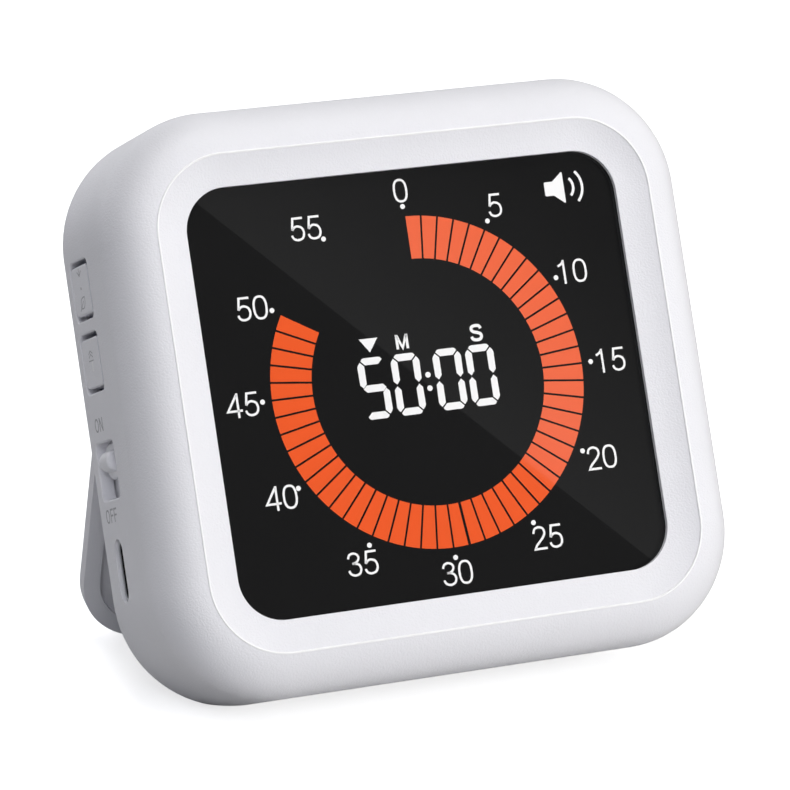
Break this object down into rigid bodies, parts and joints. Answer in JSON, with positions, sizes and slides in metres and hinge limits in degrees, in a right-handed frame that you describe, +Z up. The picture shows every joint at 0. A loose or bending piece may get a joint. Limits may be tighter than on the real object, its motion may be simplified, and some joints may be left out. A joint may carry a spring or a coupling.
{
  "type": "countdown timer",
  "caption": "Square visual countdown timer with rounded corners, glossy dial screen, side buttons, slide switch, USB-C inlet and a fold-out kickstand.",
  "frame": {"origin": "middle of the bottom of the bounding box, on the table under the opened timer", "axes": "+Z up, +X to the right of someone reading the screen, +Y away from them; the body leans back towards +Y"},
  "size_m": [0.0916, 0.0566, 0.0855],
  "materials": {
    "white_plastic": "fine matte white moulded plastic",
    "smoked_lens": "glossy smoked screen window with printed dial",
    "black_foam": "soft black foam and tape",
    "display_glass": "polished liquid crystal glass",
    "optical_sheet": "milky optical film and light guide",
    "circuit_board": "green solder mask",
    "led_resin": "diffuse resin",
    "frame_plastic": "moulded white plastic",
    "tinned_metal": "tinned sheet metal",
    "screw_steel": "zinc plated steel",
    "pin_steel": "ground steel pin",
    "chip_epoxy": "black moulded epoxy",
    "cell_foil": "laminated foil pouch",
    "plunger_plastic": "dark nylon"
  },
  "bodies": {
    "body": {"front_housing": "white_plastic", "rear_cover": "white_plastic", "lens_window": "smoked_lens", "lens_tape": "black_foam", "dust_gasket": "black_foam", "battery_pad": "black_foam", "lcd_panel": "display_glass", "diffuser_sheet": "optical_sheet", "light_guide": "optical_sheet", "reflector_sheet": "optical_sheet", "backlight_board": "circuit_board", "main_board": "circuit_board", "backlight_leds": "led_resin", "display_frame": "frame_plastic", "display_pins": "tinned_metal", "board_screws": "screw_steel", "cover_screws": "screw_steel", "hinge_pins": "pin_steel", "controller_chip": "chip_epoxy", "charger_chip": "chip_epoxy", "small_chip_parts": "chip_epoxy", "quartz_crystal": "tinned_metal", "buzzer": "chip_epoxy", "battery_cell": "cell_foil", "battery_socket": "frame_plastic", "usb_c_shell": "tinned_metal", "usb_c_tongue": "chip_epoxy", "tact_cases": "chip_epoxy", "switch_case": "tinned_metal"},
    "down_button": {"down_button": "white_plastic", "down_plunger": "plunger_plastic"},
    "up_button": {"up_button": "white_plastic", "up_plunger": "plunger_plastic"},
    "switch_knob": {"switch_knob": "white_plastic", "switch_lever": "plunger_plastic"},
    "kickstand": {"kickstand": "white_plastic"}
  },
  "joints": [
    {"name": "kickstand_hinge", "type": "hinge", "parent": "body", "child": "kickstand", "pos_m": [0.0003, 0.01297, 0.04081], "axis": [1, 0, 0], "range_deg": [-41.2, 0]},
    {"name": "down_button_press", "type": "slide", "parent": "body", "child": "down_button", "axis": [1, 0, 0], "range_m": [0, 0.0004], "stiffness_N_per_m": 3000},
    {"name": "up_button_press", "type": "slide", "parent": "body", "child": "up_button", "axis": [1, 0, 0], "range_m": [0, 0.0004], "stiffness_N_per_m": 3000},
    {"name": "power_switch_slide", "type": "slide", "parent": "body", "child": "switch_knob", "axis": [0, -0.3907, -0.9205], "range_m": [0, 0.0026]}
  ]
}
